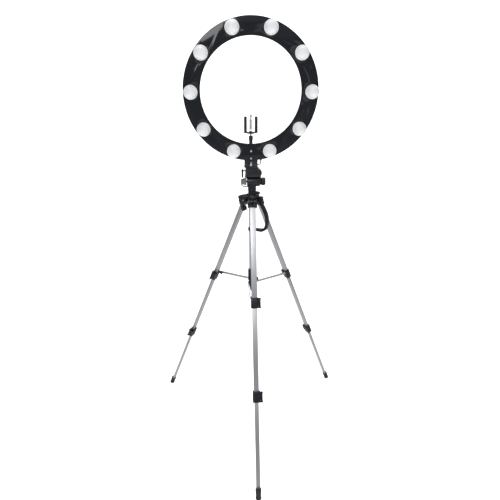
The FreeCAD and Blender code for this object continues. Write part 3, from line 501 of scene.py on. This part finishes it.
def pale_trim():
    """The tab behind the bracket's keyhole and the two spines inside the phone clip."""
    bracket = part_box("ring_bracket")[0]
    tab = (RING.x, bracket.y + 3.6 * MM, bracket.z + 16.5 * MM)
    slab("keyhole_tab", tab, (16 * MM, 0.6 * MM, 26 * MM), "ring_bracket")
    low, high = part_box("phone_clip")
    spine = (high.z - 14 * MM + low.z + 24 * MM) / 2
    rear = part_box("clip_hook")[1].y - 1.8 * MM
    for side, name in ((-1, "left"), (1, "right")):
        place = (RING.x + side * 5.45 * MM, rear, spine)
        slab(f"clip_spine_{name}", place, (4.4 * MM, 4.6 * MM, 56 * MM), "phone_clip")


def castings():
    """Every remaining CAD shape, with rounded edges."""
    shells = {node: softened(node, bevel) for node, bevel in CAST.items()}
    for leg in LEGS:
        for part, bevel in LEG_CAST.items():
            softened(f"{leg}_{part}", bevel)
    return shells


# ---------------------------------------------------------------- power cord
CORD = 0.0045
LEAD = [(41, 136, 1491), (41, 137, 1480), (36, 143, 1472), (27, 150, 1469), (15, 156, 1470),
        (0, 164, 1471), (-14, 174, 1470), (-24, 184, 1462), (-28, 188, 1446), (-29, 188, 1424),
        (-30, 187, 1404), (-35, 185, 1391), (-46, 184, 1382), (-52, 184, 1370), (-45, 186, 1358),
        (-28, 189, 1354), (-10, 190, 1355), (4, 189, 1358), (14, 188, 1366), (19, 190, 1377),
        (18, 197, 1386)]
COIL_TURNS = 8
COIL_STEPS = 14


def coil_slot(turn):
    """The side step and the layer of one whole turn, in cord diameters: layers of three, back and forth."""
    layer, place = divmod(turn, 3)
    side = place - 1
    return Vector((-side if layer % 2 else side, 1 - layer))


def coil_points():
    """The coil's turns, entered from the lead at the bottom; each eases over from the one before."""
    low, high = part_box("power_coil")
    mean = (high.z - low.z) / 2 - 1.5 * CORD
    points = []
    for step in range(COIL_TURNS * COIL_STEPS + 1):
        turn = step / COIL_STEPS
        whole = min(int(turn), COIL_TURNS - 1)
        before = coil_slot(max(whole - 1, 0))
        side, layer = before.lerp(coil_slot(whole), min(1.0, 3 * (turn - whole)))
        angle = 2 * math.pi * (turn - 0.25)
        reach = mean + layer * CORD
        around = Vector((side * CORD, reach * math.cos(angle), reach * math.sin(angle)))
        points.append(middle("power_coil") + around)
    return points


def plug_points():
    """The cord's last stretch, into the plug's front."""
    centre = middle("plug")
    entry = Vector((centre.x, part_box("plug")[0].y + 1 * MM, centre.z))
    return [entry + Vector((0, -12, 4)) * MM, entry]


def power_cord():
    """The lead, its coil and its last stretch as one smooth cord."""
    curve = bpy.data.curves.new("power_cord", "CURVE")
    curve.dimensions = "3D"
    curve.bevel_depth = CORD / 2
    curve.bevel_resolution = 5
    curve.resolution_u = 6
    curve.use_fill_caps = True
    spline = curve.splines.new("NURBS")
    points = [Vector(point) * MM for point in LEAD] + coil_points() + plug_points()
    spline.points.add(len(points) - 1)
    for spot, point in zip(spline.points, points):
        spot.co = (*point, 1)
    spline.order_u = 3
    spline.use_endpoint_u = True
    cord = bpy.data.objects.new("power_cord", curve)
    bpy.context.scene.collection.objects.link(cord)
    cord.data.materials.append(MATERIALS["wire"])
    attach(cord, BODIES["power_lead"])
    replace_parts(cord, "power_lead", "power_coil")
    return cord


# ---------------------------------------------------------------- stage
# The sweep: a floor that turns up behind the object through a quarter circle.
SWEEP_FRONT, SWEEP_BEND, SWEEP_RADIUS, SWEEP_TOP = -6, 4, 2, 7
SWEEP_HALF_WIDTH = 8

# Each soft light: place, side and power.
AIM = Vector((0, 0.1, 1.1))
LIGHTS = {
    "key": ((-1.2, -3.4, 3.6), 2.0, 48),
    "fill": ((2.8, -2.4, 2.6), 1.6, 14),
    "top": ((0.0, 0.4, 4.2), 2.4, 40),
    "rear": ((0.6, 2.8, 2.8), 1.6, 14),
}

# Grey of the surroundings by height: 0 is straight down, 0.5 the horizon and 1 straight up.
SKY_LOWEST, SKY_HIGHEST = (0.62, 0.62, 0.62, 1), (0.50, 0.51, 0.52, 1)
SKY = ((0.30, 0.46), (0.46, 0.26), (0.58, 0.25), (0.72, 0.45))


def white_sweep():
    """A pale floor that curves up behind, bright enough to read as white."""
    outline = [(SWEEP_FRONT, 0), (SWEEP_BEND, 0)]
    for step in range(1, 13):
        angle = math.pi / 2 * step / 12
        back = SWEEP_BEND + SWEEP_RADIUS * math.sin(angle)
        outline.append((back, SWEEP_RADIUS * (1 - math.cos(angle))))
    outline.append((SWEEP_BEND + SWEEP_RADIUS, SWEEP_TOP))
    bm = bmesh.new()
    rows = [[bm.verts.new((x, y, z)) for x in (-SWEEP_HALF_WIDTH, SWEEP_HALF_WIDTH)] for y, z in outline]
    for low, high in zip(rows, rows[1:]):
        bm.faces.new((low[0], low[1], high[1], high[0]))
    floor = bpy.data.objects.new("floor", finished(bm, "floor"))
    bpy.context.scene.collection.objects.link(floor)
    look = Look("floor", (0.93, 0.93, 0.93), 0.7)
    look.colors(look.noise(0.6, 2.0), (0.92, 0.92, 0.92), (0.94, 0.94, 0.94))
    look.shader.inputs["Emission Color"].default_value = (1, 1, 1, 1)
    look.shader.inputs["Emission Strength"].default_value = 0.75
    floor.data.materials.append(look.material)
    floor.visible_glossy = False


def area_light(name, place, turn, width, height, power):
    """One soft rectangular light."""
    data = bpy.data.lights.new(name, "AREA")
    data.shape = "RECTANGLE"
    data.size, data.size_y = width, height
    data.energy = power
    lamp = bpy.data.objects.new(name, data)
    bpy.context.scene.collection.objects.link(lamp)
    lamp.location = place
    lamp.rotation_euler = turn


def lights():
    """The soft lights, and a narrow strip that streaks the glossy ring at its right."""
    for name, (place, side, power) in LIGHTS.items():
        turn = (AIM - Vector(place)).to_track_quat("-Z", "Y").to_euler()
        area_light(name, place, turn, side, side, power)
    area_light("strip", (0.74, -3.0, 1.75), (math.pi / 2, math.radians(4), 0), 0.12, 1.1, 0.35)


def surroundings():
    """A world that is darker round the horizon, so that bright metal keeps its edges."""
    world = bpy.data.worlds.new("world")
    world.use_nodes = True
    tree = world.node_tree
    coords = tree.nodes.new("ShaderNodeTexCoord")
    parts = tree.nodes.new("ShaderNodeSeparateXYZ")
    height = tree.nodes.new("ShaderNodeMapRange")
    height.inputs["From Min"].default_value = -1
    ramp = tree.nodes.new("ShaderNodeValToRGB")
    ramp.color_ramp.elements[0].color = SKY_LOWEST
    ramp.color_ramp.elements[1].color = SKY_HIGHEST
    for spot, grey in SKY:
        ramp.color_ramp.elements.new(spot).color = (0.94 * grey, 0.97 * grey, grey, 1)
    tree.links.new(coords.outputs["Generated"], parts.inputs["Vector"])
    tree.links.new(parts.outputs["Z"], height.inputs["Value"])
    tree.links.new(height.outputs["Result"], ramp.inputs["Fac"])
    tree.links.new(ramp.outputs["Color"], tree.nodes["Background"].inputs["Color"])
    bpy.context.scene.world = world
    bpy.context.scene.view_settings.view_transform = "Standard"


make_camera()
cord = power_cord()
lamps()
tilt_knob()
tilt_cap()
shells = castings()
cradle_ribs()
pale_trim()
white_sweep()
lights()
surroundings()
